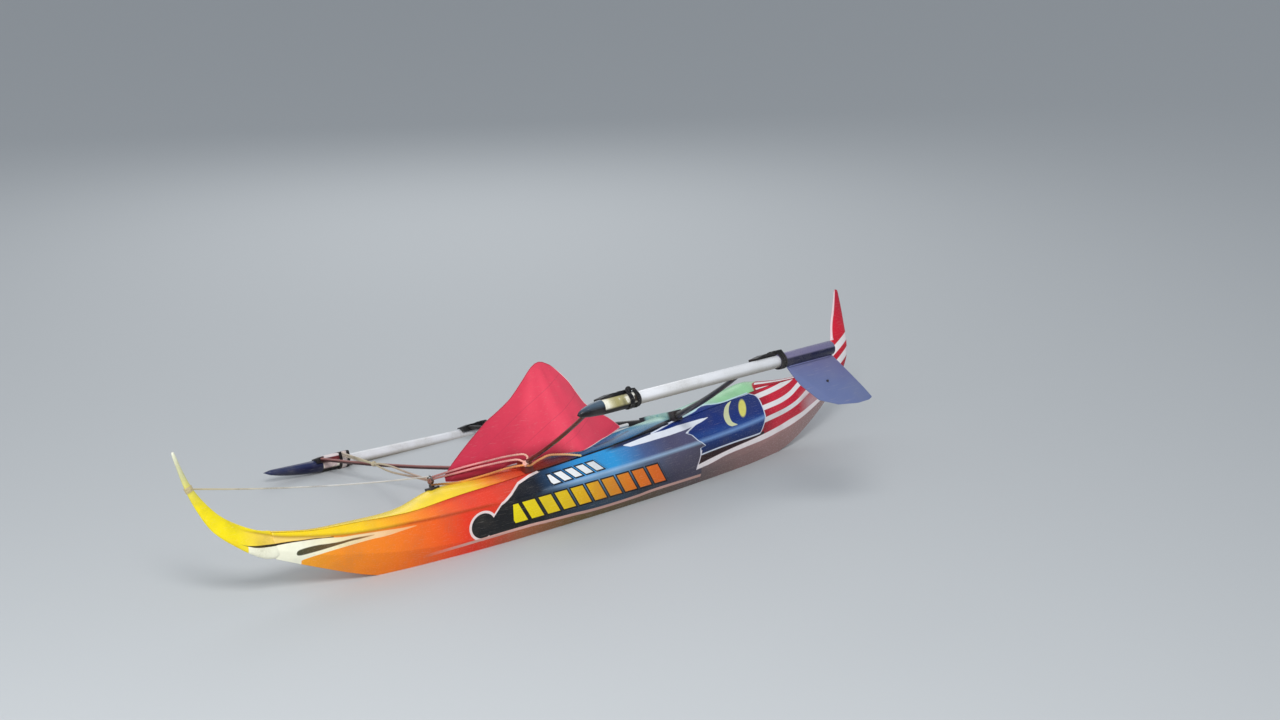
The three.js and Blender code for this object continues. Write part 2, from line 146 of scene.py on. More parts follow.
hull = merged_copy("hull", "hull_shell", ease=0.004, segments=3, sharp=9)


def srgb(code):
    """A colour of six hex digits as the linear colour that a shader takes"""
    parts = [int(code[n:n + 2], 16) / 255 for n in (0, 2, 4)]
    return (*[p / 12.92 if p <= 0.04045 else ((p + 0.055) / 1.055) ** 2.4 for p in parts], 1.0)


class Measure:
    """What a material works out at each place on a piece. Sums with it are written as usual."""

    def __init__(self, socket):
        self.socket = socket
        self.tree = socket.id_data

    def __add__(self, other):
        return calc("ADD", self, other)

    def __sub__(self, other):
        return calc("SUBTRACT", self, other)

    def __rsub__(self, other):
        return calc("SUBTRACT", other, self)

    def __mul__(self, other):
        return calc("MULTIPLY", self, other)

    def __truediv__(self, other):
        return calc("DIVIDE", self, other)

    def __pow__(self, other):
        return calc("POWER", self, other)

    def __abs__(self):
        return calc("ABSOLUTE", self)


def add_node(kind, inputs, tree=None, output=0, **settings):
    """What a new node puts out. It joins the tree of its first input that is a measure, or the one given."""
    tree = tree or next(value.tree for value in inputs.values() if isinstance(value, Measure))
    made = tree.nodes.new("ShaderNode" + kind)
    for name, value in settings.items():
        setattr(made, name, value)
    for socket, value in inputs.items():
        if isinstance(value, Measure):
            tree.links.new(value.socket, made.inputs[socket])
        else:
            made.inputs[socket].default_value = value
    return Measure(made.outputs[output])


def calc(operation, *values):
    return add_node("Math", dict(enumerate(values)), operation=operation)


def least(*values):
    total = values[0]
    for value in values[1:]:
        total = calc("MINIMUM", total, value)
    return total


def between(value, low, high):
    """How far a value lies inside the stretch from low to high, above 0 inside it"""
    return least(value - low, high - value)


def scaled(value, low, high, new_low=0.0, new_high=1.0):
    """A value with the range from low to high stretched over the new range, and held inside that"""
    return add_node("MapRange", {
        "Value": value, "From Min": low, "From Max": high, "To Min": new_low, "To Max": new_high,
    })


def line(along, points, handle="AUTO"):
    """The second number of points, in metres, at each place of the first, both given in mm"""
    points = sorted(points)
    low_x, high_x = points[0][0], points[-1][0]
    low, high = min(z for x, z in points), max(z for x, z in points) + 1
    drawn = add_node("FloatCurve", {"Value": scaled(along, low_x / 1000, high_x / 1000)})
    mapping = drawn.socket.node.mapping
    curve = mapping.curves[0]
    for n, (x, z) in enumerate(points):
        place = ((x - low_x) / (high_x - low_x), (z - low) / (high - low))
        if 0 < n < len(points) - 1:
            curve.points.new(*place)
        else:
            curve.points[0 if n == 0 else -1].location = place
    for point in curve.points:
        point.handle_type = handle
    mapping.update()
    return scaled(drawn, 0.0, 1.0, low / 1000, high / 1000)


def edge(distance, soft=0.0015):
    """A mask that is 1 where distance, in metres, is above 0"""
    return scaled(distance, -soft / 2, soft / 2)


def stroke(distance, half, soft=0.0015):
    """A mask that is 1 where distance is within half of 0, both in metres"""
    return edge(half - abs(distance), soft)


def over(below, colour, mask):
    """Paint of one colour over the paint below, where the mask is 1"""
    colour = srgb(colour) if isinstance(colour, str) else colour
    below = srgb(below) if isinstance(below, str) else below
    return add_node("Mix", {0: mask, 6: below, 7: colour}, output=2, data_type="RGBA")


def faded(value, stops):
    """Colours that run into each other along value, in metres. stops: place in mm and colour."""
    low, high = stops[0][0], stops[-1][0]
    ramp = add_node("ValToRGB", {"Fac": scaled(value, low / 1000, high / 1000)}, output="Color")
    steps = ramp.socket.node.color_ramp.elements
    steps[0].color = srgb(stops[0][1])
    steps[-1].color = srgb(stops[-1][1])
    for place, colour in stops[1:-1]:
        steps.new((place - low) / (high - low)).color = srgb(colour)
    return ramp


def noise(place, scale, detail):
    return add_node("TexNoise", {"Vector": place, "Scale": scale, "Detail": detail})


def new_material(name, roughness=0.4, metallic=0.0, coat=0.0, specular=0.3):
    """A material, and the place on the boat in its own frame, in metres: vector, x, off the middle, z"""
    material = bpy.data.materials.new(name)
    material.use_nodes = True
    shader = material.node_tree.nodes["Principled BSDF"]
    shader.inputs["Roughness"].default_value = roughness
    shader.inputs["Metallic"].default_value = metallic
    shader.inputs["Specular IOR Level"].default_value = specular
    shader.inputs["Coat Weight"].default_value = coat
    shader.inputs["Coat Roughness"].default_value = 0.1
    surface = add_node("TexCoord", {}, material.node_tree, "Object")
    turned = add_node("Mapping", {"Vector": surface, "Rotation": (-HEEL, 0, 0)})
    parts = add_node("SeparateXYZ", {"Vector": turned}).socket.node.outputs
    x, y, z = [Measure(part) for part in parts]
    return material, turned, x, abs(y), z


def weathered(material, place, colour, shine=(0.22, 0.42), grime="5a5348", amount=0.25):
    """Gives a material its colour, with faint blotches, scratches, grime and uneven gloss"""
    blotch = noise(place, 9.0, 4.0)
    fine = noise(place, 160.0, 5.0)
    drawn_out = add_node("Mapping", {"Vector": place, "Scale": (6, 90, 90)})
    scratch = scaled(noise(drawn_out, 3.0, 6.0), 0.6, 0.78)
    colour = over(colour, grime, scaled(blotch, 0.45, 0.75) * fine * (amount * 2))
    colour = over(colour, "cfc8bd", scratch * (amount * 0.64))
    brightness = scaled(blotch, 0.0, 1.0, 0.86, 1.1)
    shader = material.node_tree.nodes["Principled BSDF"]
    for name, value in (
        ("Base Color", add_node("HueSaturation", {"Color": colour, "Value": brightness})),
        ("Roughness", scaled(fine * 0.5 + scratch * 0.5, 0.15, 0.7, *shine)),
        ("Normal", add_node("Bump", {"Height": fine * 0.4 - scratch, "Strength": 0.12, "Distance": 0.001})),
    ):
        material.node_tree.links.new(value.socket, shader.inputs[name])


# Paint on the sides
# Sprayed gloss paint. It fades from yellow at the bow through orange to red, with a black
# and blue field edged in white amidships, a navy panel aft, and red and white stripes behind it.
# Distances are in metres and the points of lines in mm, x forward and z up from the boat's origin.
hull_paint, place, x, off, z = new_material("side_paint", coat=0.12)
chine = line(x, [(1560, 258), (1500, 239), (1449, 226), (1396, 213), (1340, 202), (1287, 192), (1231, 184),
                 (1170, 177), (1040, 167), (908, 157), (690, 146), (500, 140), (0, 139), (-400, 144),
                 (-800, 160), (-1010, 184), (-1160, 203), (-1350, 240), (-1500, 286)])
over_chine = z - chine
upper = edge(over_chine, 0.004)
side = faded(x, [(-1500, "b5142b"), (-900, "c2152e"), (500, "e8402f"), (735, "f24a30"), (840, "f8632e"),
                 (960, "fb8a2a"), (1090, "fdb024"), (1220, "fbd01e"), (1560, "fadc18")])
low_side = faded(x, [(-1500, "8f2433"), (-900, "a3172c"), (500, "d8371f"), (760, "f83c1e"), (900, "ff661c"),
                     (1100, "ff841c"), (1300, "ff9422"), (1560, "ffb82a")])
colour = over(low_side, side, upper)

# Bow streaks: a pale strip under the crease, a black line, a cream streak that runs to the
# stem, a dark gap, and a second cream streak that meets the first at a point
PALE_AFT = 1.34
BLACK_AFT = 1.33
CREAM_AFT = 0.985
STEM = 1.46
GAP_AFT = 1.165
GAP_FORE = 1.48
black_top = line(x, [(1330, 196), (1358, 199), (1399, 207), (1453, 214), (1506, 222), (1560, 228)])
cream_top = line(x, [(985, 150), (1056, 156), (1115, 163), (1174, 170), (1232, 177), (1289, 183),
                     (1345, 194), (1399, 203), (1453, 210), (1506, 216), (1560, 220)])
cream_foot = line(x, [(985, 147), (1057, 144), (1118, 142), (1177, 145), (1293, 145), (1393, 143),
                      (1460, 138)])
gap_top = line(x, [(1165, 159), (1218, 165), (1262, 168), (1305, 169), (1347, 173), (1429, 181),
                   (1465, 180), (1480, 169)])
gap_foot = line(x, [(1165, 158), (1219, 158), (1262, 160), (1306, 159), (1349, 158), (1404, 157),
                    (1460, 158), (1480, 168)])
cream_colour = faded(x, [(985, "ffb070"), (1120, "ffcf98"), (1300, "ffeebb"), (1460, "fdfbe2")])
gap_colour = faded(x, [(1165, "c98a50"), (1240, "7a5320"), (1475, "4a4a32")])
pale = least(chine - z, z - black_top, x - PALE_AFT)
black = least(black_top - z, z - cream_top, x - BLACK_AFT)
cream = least(cream_top - z, calc("MAXIMUM", z - cream_foot, x - STEM), x - CREAM_AFT)
gap = least(gap_top - z, z - gap_foot, between(x, GAP_AFT, GAP_FORE))
colour = over(colour, "fdd873", edge(pale, 0.006))
colour = over(colour, "231c0e", edge(black))
colour = over(colour, cream_colour, edge(cream))
colour = over(colour, gap_colour, edge(gap, 0.003))

# Painted shade: soft dark lines along the chine and under the deck edge, where the creases lie in shade
DECK_EDGE = [(-1500, 322), (-1350, 302), (-1160, 299), (-1010, 299), (-920, 296), (-800, 287),
             (-400, 260), (0, 236), (500, 219), (740, 215), (840, 210), (960, 204), (1060, 208),
             (1200, 221), (1400, 238), (1560, 271)]
deck_edge = line(x, DECK_EDGE)
for crease, aft, fore, reach, shade, depth in (
    (chine, 1.03, 1.62, 0.005, "a98212", 0.75),
    (chine, 0.62, 1.05, 0.005, "a83a08", 0.75),
    (deck_edge, 0.42, 0.90, 0.009, "b81e12", 0.6),
    (deck_edge, 0.86, 1.16, 0.005, "c9870f", 0.5),
):
    ends = edge(between(x, aft, fore), 0.08)
    colour = over(colour, shade, stroke(z - crease, reach, 2 * reach) * ends * depth)


# Black and blue field: a round lobe at its fore end, and a swept upper edge behind it
def inside_oval(along, up, half_length, half_height, depth):
    """Above 0 inside an oval, and depth at its middle. along and up are distances from there."""
    share = calc("SQRT", (along / half_length) ** 2.0 + (up / half_height) ** 2.0)
    return (1.0 - share) * depth


LOBE = (0.685, 0.072)
FIELD_AFT = -0.53
SWEEP_FORE = 0.665
FIELD_RIM = 0.005
lobe = inside_oval(x - LOBE[0], z - LOBE[1], 0.061, 0.053, 0.055)
sweep_top = line(x, [(-500, 320), (200, 300), (298, 236), (364, 219), (411, 212), (476, 196), (531, 163),
                     (579, 141), (594, 136), (616, 115), (640, 92), (690, 60)], "VECTOR")
sweep_foot = line(x, [(-500, 8), (-424, 8), (-227, 8), (-93, 3), (42, 2), (240, 9), (367, 14), (489, 19),
                      (668, 20)])
sweep = least(sweep_top - z, z - sweep_foot, between(x, FIELD_AFT, SWEEP_FORE))
field = calc("MAXIMUM", lobe, sweep)
field_up = faded(x, [(-480, "5a5878"), (-330, "4e4d6e"), (-180, "4f6392"), (-90, "3f86c4"), (-20, "2f9bdc"),
                     (160, "2c93d6"), (250, "2b74ae"), (320, "204468"), (400, "101827"), (560, "0b0c12")])
field_low = faded(x, [(-480, "565164"), (-330, "5a5670"), (-160, "5a6b86"), (0, "6fa3cf"), (180, "6794bd"),
                      (330, "2e4a66"), (430, "141c26"), (560, "0c0c10")])
DEEP_TOP = 0.085
deep = edge(DEEP_TOP - z, 0.09) * scaled(x, -0.45, -0.15, 0.25, 0.85)
field_low = over(field_low, "17181b", deep)
field_colour = over(field_low, field_up, upper)
# Painted highlight: a pale blue line along the chine, fading out forward
CHINE_HIGHLIGHT_FORE = 0.30
chine_highlight = stroke(over_chine - 0.002, 0.007, 0.012) * edge(CHINE_HIGHLIGHT_FORE - x, 0.2)
field_colour = over(field_colour, "a9c8e6", chine_highlight * 0.7)
colour = over(colour, "f6e3e0", edge(field + FIELD_RIM))
colour = over(colour, field_colour, edge(field - FIELD_RIM))

# Two rows of slanted speed bars, white over yellow to orange, each bar with a dark rim.
# Each row: its fore and aft end, the pitch and the lines along its top and foot in mm, and its lean
HALF_GAP = 0.0085
for fore, aft, pitch, top_line, foot_line, lean, shades, rim in (
    (330, 40, 58, [(0, 200), (343, 196)], [(0, 158), (343, 152)], 0.75,
     [(30, "e9eef2"), (200, "f2f5f6"), (340, "ffffff")], "14202e"),
    (540, -280, 82, [(-300, 112), (545, 122)], [(-300, 32), (545, 44)], 0.6,
     [(-280, "ef6a1e"), (-100, "f27f1c"), (60, "f6a11a"), (250, "fbd012"), (540, "fbe708")], "0e0e10"),
):
    top = line(x, top_line, "VECTOR")
    foot = line(x, foot_line, "VECTOR")
    slanted = x - z * lean + lean * foot_line[1][1] / 1000
    bar = calc("PINGPONG", slanted - fore / 1000, pitch / 2000) - HALF_GAP
    bar = least(bar, top - z, z - foot, fore / 1000 - x, slanted - aft / 1000)
    colour = over(colour, rim, edge(bar + 0.005))
    colour = over(colour, faded(x, shades), edge(bar - 0.0015))

# White wedge that points forward, under a navy strip that the panel draws out over it
wedge_top = line(x, [(-592, 241), (-543, 242), (-405, 242), (-329, 238), (-265, 239), (-183, 233),
                     (-92, 226)], "VECTOR")
wedge_foot = line(x, [(-592, 240), (-545, 229), (-500, 222), (-440, 216), (-350, 212), (-205, 211),
                      (-127, 212), (-92, 225)], "VECTOR")
STRIP_AFT = -0.49
STRIP_TIP = -0.02
STRIP_TAPER = 0.2
strip = least(z - (wedge_top - 0.004), x - STRIP_AFT, (STRIP_TIP - x) * STRIP_TAPER)
colour = over(colour, "14224c", edge(strip, 0.012))

# Navy panel, which runs on over the wedge, with a painted highlight along the chine
panel_top = line(x, [(-940, 296), (-880, 291), (-800, 287), (-726, 285), (-593, 285), (-480, 275),
                     (-440, 267), (-410, 263), (-381, 259), (-340, 252), (-300, 245), (-260, 239)])
panel_foot = line(x, [(-930, 118), (-860, 110), (-683, 106), (-489, 96)])
panel_fore = line(z, [(90, -490), (123, -490), (128, -520), (157, -482), (186, -464), (202, -437),
                      (206, -445), (222, -492), (240, -560)], "VECTOR")
panel_aft = line(z, [(100, -858), (141, -898), (184, -914), (232, -918), (262, -912), (285, -880),
                     (300, -830)])
panel = least(panel_top - z, z - panel_foot, panel_fore - x, x - panel_aft)
OVER_WEDGE_AFT, OVER_WEDGE_FORE = -0.7, -0.262
panel_over_wedge = least(z - wedge_top, panel_top - z, between(x, OVER_WEDGE_AFT, OVER_WEDGE_FORE))
panel = calc("MAXIMUM", panel, panel_over_wedge)
navy = faded(z, [(100, "0f2358"), (150, "16387c"), (176, "1c4690"), (200, "12307c"), (290, "0e2a70")])
# Painted highlight, light blue, along the chine
navy = over(navy, "7fa6de", stroke(over_chine - 0.003, 0.008, 0.014) * 0.75)

# Red and white stripes behind the panel, swept up over the deck edge
STRIPES_FORE = -0.86
HALF_STRIPE = 0.011
PINK_FORE = -1.20
behind = STRIPES_FORE - x
stripe_lines = [line(x, points) for points in (
    [(-1180, 312), (-1100, 290), (-1000, 276), (-908, 268), (-860, 262)],
    [(-1260, 300), (-1189, 266), (-1064, 226), (-920, 212), (-860, 208)],
    [(-1340, 280), (-1228, 224), (-1096, 181), (-934, 161), (-860, 156)],
)]
off_stripe = least(*[abs(z - stripe_line) for stripe_line in stripe_lines])
band_red = faded(x, [(-1500, "b0182b"), (-1150, "d01434"), (-1000, "dc1c3c"), (-900, "9a1228")])
colour = over(colour, band_red, edge(behind))
colour = over(colour, "f7f2f2", edge(least(HALF_STRIPE - off_stripe, behind)))
aft_pink = least(stripe_lines[2] - (z + HALF_STRIPE), PINK_FORE - x)
colour = over(colour, "c8989e", edge(aft_pink, 0.08))

# The long white band under the panel, with a dark wedge over it and a brownish bottom of painted
# shade and reflected water, and then the panel with its pale rim and the white wedge with the arm at its
# root
DARK_AFT = -0.9
BOTTOM_AFT = -0.49
PANEL_RIM = 0.005
WEDGE_AFT, WEDGE_TIP = -0.589, -0.096
ARM_WIDTH = 0.012
ARM_FOOT, ARM_TOP = 0.200, 0.224
low_top = line(x, [(-1400, 208), (-1240, 161), (-1175, 143), (-1092, 129), (-1000, 113), (-874, 98),
                   (-659, 79), (-502, 60), (-460, 54)])
low_foot = line(x, [(-1400, 196), (-1240, 138), (-1187, 122), (-1091, 101), (-999, 88), (-909, 77),
                    (-766, 68), (-658, 61), (-542, 44), (-460, 37)])
field_aft = line(z, [(0, -450), (40, -462), (79, -482), (105, -492), (128, -495), (150, -483)])
aft_of_field = field_aft - x
dark_wedge = least(panel_foot - z, z - low_top, aft_of_field, x - DARK_AFT)
colour = over(colour, "2c0c14", edge(dark_wedge))
# Greyish pink bottom aft: painted shade and reflected water over the hull's colour
shaded_bottom_aft = faded(x, [(-1500, "a8807c"), (-1000, "b58a86"), (-700, "957673"), (-470, "6d5f60")])
colour = over(colour, shaded_bottom_aft, edge(least(low_foot - z, BOTTOM_AFT - x), 0.004))
low_band = least(z - low_foot, low_top - z, aft_of_field)
colour = over(colour, "fff4f3", edge(low_band, 0.003))
colour = over(colour, "dfe6f5", edge(panel + PANEL_RIM))
colour = over(colour, navy, edge(panel - 0.001))
wedge = least(wedge_top - z, z - wedge_foot, between(x, WEDGE_AFT, WEDGE_TIP))
from_fore = panel_fore - x
arm = least(between(from_fore, 0.0, ARM_WIDTH), between(z, ARM_FOOT, ARM_TOP))
colour = over(colour, "eef2fb", edge(calc("MAXIMUM", wedge, arm)))

# A yellow oval and a pale crescent on the panel
OVAL = (-0.800, 0.237)
OVAL_LEAN = 0.39
over_oval = z - OVAL[1]
oval = inside_oval(x - OVAL[0] + over_oval * OVAL_LEAN, over_oval, 0.023, 0.037, 0.023)
outer = line(z, [(172, -710), (176, -694), (190, -678), (217, -675), (245, -690), (267, -714),
                 (280, -752)])
inner = line(z, [(172, -735), (180, -728), (184, -721), (198, -709), (225, -711), (253, -725),
                 (276, -750), (280, -756)])
crescent = least(outer - x, x - inner, between(z, 0.174, 0.280))
colour = over(colour, "e8e070", edge(oval, 0.006))
colour = over(colour, "d8dcae", edge(crescent))

# Bottom under the black field, the hull's colour darkened to brown by painted shade and reflected
# water, with a thin pale rim between them, and a pale line down the field's aft end
BOTTOM_FORE = 0.62
RIM_FORE = 0.86
HALF_RIM = 0.0055
HALF_LINE = 0.003
below = sweep_foot - z
# Painted shade and reflected water darken the bottom to brown, fading into the hull's red-orange forward
shaded_bottom_mid = faded(x, [(-490, "6a5a5c"), (-100, "6b5a44"), (200, "7a6238"), (450, "b0683f"),
                       (660, "d2603a")])
bottom = edge(least(below, x - BOTTOM_AFT)) * edge(BOTTOM_FORE - x, 0.2)
colour = over(colour, shaded_bottom_mid, bottom)
rim = edge(least(HALF_RIM - abs(below), x - BOTTOM_AFT)) * edge(RIM_FORE - x, 0.2)
colour = over(colour, "e2b0a4", rim)
aft_line = least(HALF_LINE - abs(aft_of_field), between(z, 0.036, 0.112))
colour = over(colour, "efe6ee", edge(aft_line))

# Dark seam along the deck edge amidships
seam_foot = line(x, [(-440, 269), (-410, 269), (-381, 265), (-340, 258), (-300, 251), (-260, 245),
                     (-200, 242), (-92, 236), (0, 230), (360, 217)], "VECTOR")
SEAM_AFT, SEAM_FORE = -0.44, 0.36
seam = least(z - seam_foot, between(x, SEAM_AFT, SEAM_FORE))
colour = over(colour, "0d1526", edge(seam))
weathered(hull_paint, place, colour)
hull.data.materials.append(hull_paint)

# Deck
# The crowned lid of the hull, laid up and sprayed as one with it. It is high amidships and
# low and flat at both ends, yellow forward, then orange, blue and pale green.
deck = merged_copy("deck", "deck_shell", ease=0.0012)
deck_paint, place, x, off, z = new_material("deck_paint", coat=0.02, specular=0.14)
colour = faded(x, [(-1500, "b7d8b4"), (-955, "b7d8b4"), (-900, "9ed6a3"), (-640, "98d0a0"), (-560, "a4cdb8"),
                   (-400, "7fb8b4"), (-280, "2e7f96"), (-150, "1f7fae"), (60, "1c5f8e"), (230, "28506a"),
                   (300, "a8452a"), (400, "e0432e"), (520, "f26430"), (600, "fb9a32"), (680, "fcd23a"),
                   (900, "fbdc3c"), (1560, "f2cc28")])

# Its sides are dark blue amidships, a painted shade, brown at the mast and pale aft, its middle pale
# green aft, and a painted shadow runs beside the foot of the sail
HALF_DECK = 0.105
near_side = edge(off / HALF_DECK - 0.62, 0.5)
for tint_and_shade, aft, fore, soft, depth in (
    # Painted shade: dark blue on the near side amidships
    ("0e4a78", -0.45, 0.30, 0.12, 0.75),
    ("6e2a1a", 0.17, 0.40, 0.06, 0.9),
    ("b9d6e6", -0.66, -0.40, 0.08, 0.8),
):
    colour = over(colour, tint_and_shade, near_side * edge(between(x, aft, fore), soft) * depth)
MINT_AFT, MINT_FORE = -0.60, -0.26
half_mint = x * -0.25 - 0.0305
mint = edge(half_mint - off, 0.03) * edge(MINT_FORE - x, 0.06) * edge(x - MINT_AFT, 0.1)
colour = over(colour, "b9dfce", mint * 0.85)
# Painted shadow of the sail's foot, a dark stripe on the deck
sail_shadow_line = line(x, [(-190, 50), (-124, 64), (-47, 77), (0, 80), (60, 84)])
HALF_SAIL_SHADOW = 0.006
sail_shadow = least(HALF_SAIL_SHADOW - abs(off - sail_shadow_line), between(x, -0.19, 0.03))
colour = over(colour, "0c2c50", edge(sail_shadow, 0.01) * 0.8)

# Dark rim along the deck's edge, with the end of the thin pale line that runs on from the side,
# and the top of the navy panel lapped over the edge
rim_top = line(x, DECK_EDGE) + line(x, [(-455, 10), (-414, 17), (-360, 16), (-279, 12), (-196, 7),
                                        (-137, 4), (-60, 3)])
rim = least(rim_top - z, between(x, -0.455, -0.05))
colour = over(colour, "0a1022", edge(rim, 0.003))
thin_line = line(x, [(-430, 268), (-375, 261)])
thin = least(HALF_LINE - abs(z - thin_line), between(x, -0.43, -0.37))
colour = over(colour, "dfe6f5", edge(thin))
lapped_top = line(x, [(-860, 292), (-825, 290), (-766, 286), (-702, 283), (-648, 287), (-609, 292),
                      (-581, 289), (-542, 279), (-446, 266)])
lapped = least(lapped_top - z, between(x, -0.86, -0.446))
colour = over(colour, "c4e2ea", edge(lapped + PANEL_RIM))
colour = over(colour, "12307c", edge(lapped))

# Red after end with white stripes along it
aft_edge = line(off, [(0, -1010), (30, -975), (60, -925), (110, -900)])
STRIPE_SHIFT, STRIPE_HALF_PITCH, HALF_RED = 0.004, 0.018, 0.0095
aft_stripe = calc("PINGPONG", off + STRIPE_SHIFT, STRIPE_HALF_PITCH) - HALF_RED
colour = over(colour, "b8172d", edge(aft_edge - x, 0.01))
colour = over(colour, "f4efee", edge(least(aft_stripe, aft_edge - 0.012 - x)))
weathered(deck_paint, place, colour, grime="4c5148", amount=0.35)
deck.data.materials.append(deck_paint)

# Horns
# The stem and the stern are drawn up into slim blades of laminate over a core, faired into
# the hull. The bow is yellow, bleached near its tip, and the stern red with white bands.
AT_JOINT = 0.002


def faired_horn(node, name, joint, reach):
    """A smooth copy of a horn, its root pushed a little way into the hull"""
    piece = merged_copy(node, name)
    for vertex in piece.data.vertices:
        if abs(vertex.co.x - joint) < AT_JOINT:
            vertex.co.x += reach
    modify(piece, "SUBSURF", levels=2, render_levels=2)
    bpy.ops.object.shade_smooth()
    return piece


bow_horn = faired_horn("bow_horn", "bow_horn_blade", joint=1.5603, reach=-0.03)
bow_paint, place, x, off, z = new_material("bow_paint", coat=0.12)
colour = faded(z, [(200, "f7cf26"), (260, "fbdb1c"), (300, "fde60e"), (430, "fde814"), (500, "ded45e"),
                   (560, "cfcf9a"), (640, "dfe0c4"), (660, "f0efe2")])

# The pale strip, a painted shade along the crease, the black line and the white foot run on from the hull's
# side
STREAKS_FORE = 1.70
WHITE_FORE = 1.665
crease_line = line(x, [(1540, 252), (1554, 258), (1605, 280), (1659, 303), (1710, 334)])
under_crease = least(crease_line - z, STREAKS_FORE - x)
paler = faded(x, [(1540, "fdd56a"), (1620, "fbd94a"), (1700, "fde614")])
colour = over(colour, paler, edge(under_crease, 0.008))
# Painted shade along the crease
crease = stroke(z - crease_line, 0.004, 0.008) * edge(1.66 - x, 0.08)
colour = over(colour, "a98212", crease * 0.6)
black_top = line(x, [(1530, 224), (1587, 232), (1643, 241), (1690, 258)])
white_top = line(x, [(1530, 217), (1585, 222), (1630, 230), (1656, 240), (1690, 258)])
colour = over(colour, "231c0e", edge(least(black_top - z, z - white_top, STREAKS_FORE - x)))
colour = over(colour, "fdfbe2", edge(least(white_top - z, WHITE_FORE - x)))
weathered(bow_paint, place, colour, grime="6a5a20", amount=0.35)
bow_horn.data.materials.append(bow_paint)

stern_horn = faired_horn("stern_horn", "stern_horn_blade", joint=-1.5003, reach=0.03)
stern_paint, place, x, off, z = new_material("stern_paint", coat=0.12)
colour = faded(z, [(230, "a8182c"), (380, "d0182f"), (480, "e01d38"), (640, "c21a3a")])

# Two white bands that rise aft, and a pale rim up both edges of the blade
BAND_SLOPE = 0.5
RIMS_FOOT = 0.42
rising = z + x * BAND_SLOPE
for low, high in ((-0.402, -0.3695), (-0.459, -0.428)):
    colour = over(colour, "f6efef", edge(between(rising, low, high), 0.003))
fore_rim = x - line(z, [(430, -1534), (481, -1550), (560, -1590), (648, -1627)])
aft_rim = line(z, [(367, -1613), (424, -1625), (463, -1626), (549, -1637), (648, -1642)]) - x
rims = least(calc("MAXIMUM", fore_rim, aft_rim), z - RIMS_FOOT)
colour = over(colour, "f4d9dc", edge(rims, 0.003))
weathered(stern_paint, place, colour, grime="5a2a2c")
stern_horn.data.materials.append(stern_paint)

# Floats
# Each is a length of white plastic pipe, painted grey underneath as shade. A pointed nose is plugged
# into its fore end, and a painted tail piece with a closed end is slid over its aft end. Nose and
# tail are painted lighter on top, a painted reflection.
FLOAT_AXES = {"port": (0.427, 0.0087), "starboard": (0.418, 0.0384)}


def over_axis(x, z, side):
    """Height over the middle line of a float, in metres"""
    level, slope = FLOAT_AXES[side]
    return z - (x * slope + level)


def shaded_float_paint(name, side, low, high, split, soft, shine=(0.3, 0.55), grime="6b6a66", amount=0.25):
    """Paint of one colour on a float's underside and another over it; the difference between them is painted
    shade and painted reflection. split is the height between them.
    """
    material, place, x, off, z = new_material(name, coat=0.15)
    colour = over(low, high, edge(over_axis(x, z, side) - split, soft))
    weathered(material, place, colour, shine, grime, amount)
    return material


for side, nose_colours, nose_slot in (
    ("port", ("100b0f", "44586a"), "black_plastic"),
    ("starboard", ("0e1236", "1e2954"), "navy_paint"),
):
    # The noses' lighter tops are a painted reflection
    nose_paint = shaded_float_paint(f"nose_{side}_paint", side, *nose_colours, split=0.004, soft=0.018,
                             shine=(0.35, 0.6))
    # The pipe's grey underside is a painted shade
    pipe_white = shaded_float_paint(
        f"pipe_{side}_white", side, "a39a8c", "e8e9ec", split=-0.012, soft=0.02, shine=(0.25, 0.5),
        grime="8d8778", amount=0.4,
    )
    # The tail's lavender top is a painted reflection over its navy
    tail_paint = shaded_float_paint(
        f"tail_{side}_paint", side, "12143a", "736e90", split=0.002, soft=0.006, shine=(0.25, 0.5),
        grime="8a8577",
    )
    for part, finish, slot_name, ease in (
        ("float_nose", nose_paint, nose_slot, 0.0),
        ("float_pipe", pipe_white, "white_pipe", 0.0008),
        ("float_tail", tail_paint, "navy_paint", 0.003),
    ):
        piece = merged_copy(f"{part}_{side}", f"{part}_{side}_body", ease)
        piece.data.materials.append(finish)

# Fins
# A flat fin of painted plywood stands under each tail on a foot strip, held by one bolt.
BOLT_X = -436
BOLT_Y = 1040
fin_blue, place, x, off, z = new_material("fin_blue")
colour = faded(z - x * 0.3, [(300, "7482b2"), (420, "6f7ba8"), (560, "736c96")])
weathered(fin_blue, place, colour, (0.3, 0.55), "7b7f90", 0.3)
steel, place, x, off, z = new_material("dull_steel", metallic=1.0)
weathered(steel, place, faded(z, [(250, "5a5450"), (330, "6d6864")]), (0.3, 0.5), "3f2a20", 0.8)
for side, sign, bolt_z in (("port", 1, 300), ("starboard", -1, 278)):
    fin = merged_copy(f"fin_{side}", f"fin_{side}_plate", ease=0.0012)
    fin.data.materials.append(fin_blue)
    bpy.ops.object.select_all(action="DESELECT")
    bpy.ops.mesh.primitive_cylinder_add(
        vertices=16, radius=0.0045, depth=0.016, location=on_water(BOLT_X, sign * BOLT_Y, bolt_z),
        rotation=(HEEL + math.radians(90), 0, 0),
    )
    bolt = bpy.context.object
    bolt.name = f"fin_bolt_{side}"
    bpy.ops.object.transform_apply(location=True, rotation=True, scale=True)
    bolt.data.materials.append(steel)
    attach(bolt, "root")

